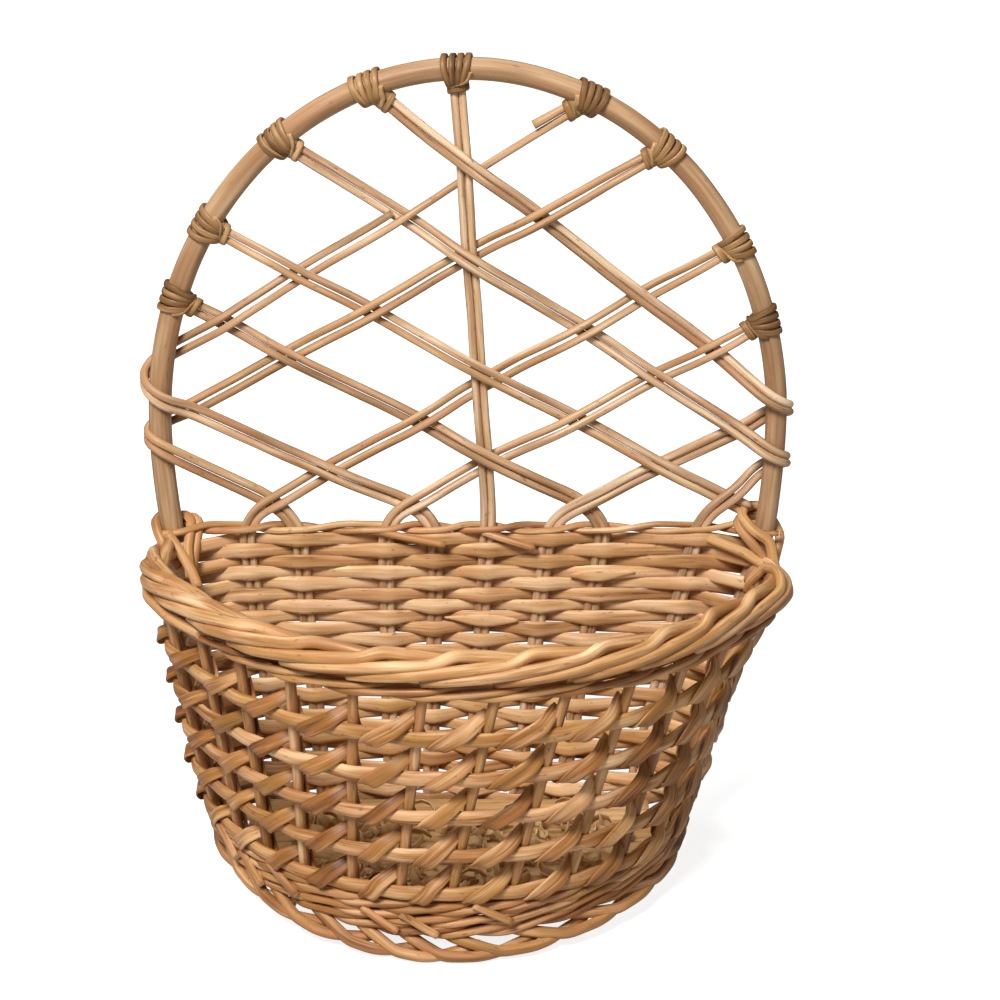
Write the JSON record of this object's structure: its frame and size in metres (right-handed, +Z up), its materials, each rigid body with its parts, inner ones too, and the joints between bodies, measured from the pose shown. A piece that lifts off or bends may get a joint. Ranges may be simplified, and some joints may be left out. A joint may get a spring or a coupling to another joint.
{
  "type": "wicker wall basket",
  "caption": "Half-round wicker wall basket with an arched cane hoop back, a crossed rod lattice bound to the hoop and a twined open front.",
  "frame": {"origin": "centre of the bounding box in X and Y, on the floor under the foot", "axes": "+X to the right seen from the front, +Y back towards the wall, +Z up the hoop"},
  "size_m": [0.3016, 0.1668, 0.377],
  "materials": {
    "cane": "pale peeled cane, satin",
    "lattice_rod": "peeled willow rod, satin varnish",
    "lashing": "thin rod, darker, satin",
    "back_weaver": "split half-round rod, satin",
    "stake": "peeled willow rod, satin varnish",
    "front_weaver": "split rod, satin, honey coloured",
    "wale": "thin rod, reddish honey, satin",
    "border_rod": "willow rod, satin",
    "base_slat": "raw pale split wood, matt",
    "base_runner": "pale rod, matt"
  },
  "bodies": {
    "root": {"hoop": "cane", "lattice_pair_1": "lattice_rod", "lattice_pair_2": "lattice_rod", "lattice_pair_3": "lattice_rod", "lattice_pair_4": "lattice_rod", "lattice_pair_5": "lattice_rod", "lattice_pair_6": "lattice_rod", "lattice_pair_7": "lattice_rod", "lattice_pair_8": "lattice_rod", "lattice_pair_9": "lattice_rod", "lashing_L1": "lashing", "lashing_L2": "lashing", "lashing_L3": "lashing", "lashing_L4": "lashing", "lashing_T": "lashing", "lashing_R4": "lashing", "lashing_R3": "lashing", "lashing_R2": "lashing", "lashing_R1": "lashing", "back_weaver_1": "back_weaver", "back_weaver_2": "back_weaver", "back_weaver_3": "back_weaver", "back_weaver_4": "back_weaver", "back_weaver_5": "back_weaver", "back_rim_twine": "border_rod", "stake_1": "stake", "stake_2": "stake", "stake_3": "stake", "stake_4": "stake", "stake_5": "stake", "stake_6": "stake", "stake_7": "stake", "stake_8": "stake", "stake_9": "stake", "stake_10": "stake", "stake_11": "stake", "stake_12": "stake", "stake_13": "stake", "stake_14": "stake", "twined_row_1": "front_weaver", "twined_row_2": "front_weaver", "twined_row_3": "front_weaver", "twined_row_4": "front_weaver", "twined_row_5": "front_weaver", "foot_wale_1": "wale", "foot_wale_2": "wale", "foot_wale_3": "wale", "rim_wale": "wale", "border_hook_left": "border_rod", "border_hook_right": "border_rod", "base_slat_1": "base_slat", "base_slat_2": "base_slat", "base_slat_3": "base_slat", "base_slat_4": "base_slat", "base_slat_5": "base_slat", "base_runner_1": "base_runner", "base_runner_2": "base_runner", "base_runner_3": "base_runner", "base_runner_4": "base_runner"}
  },
  "joints": []
}
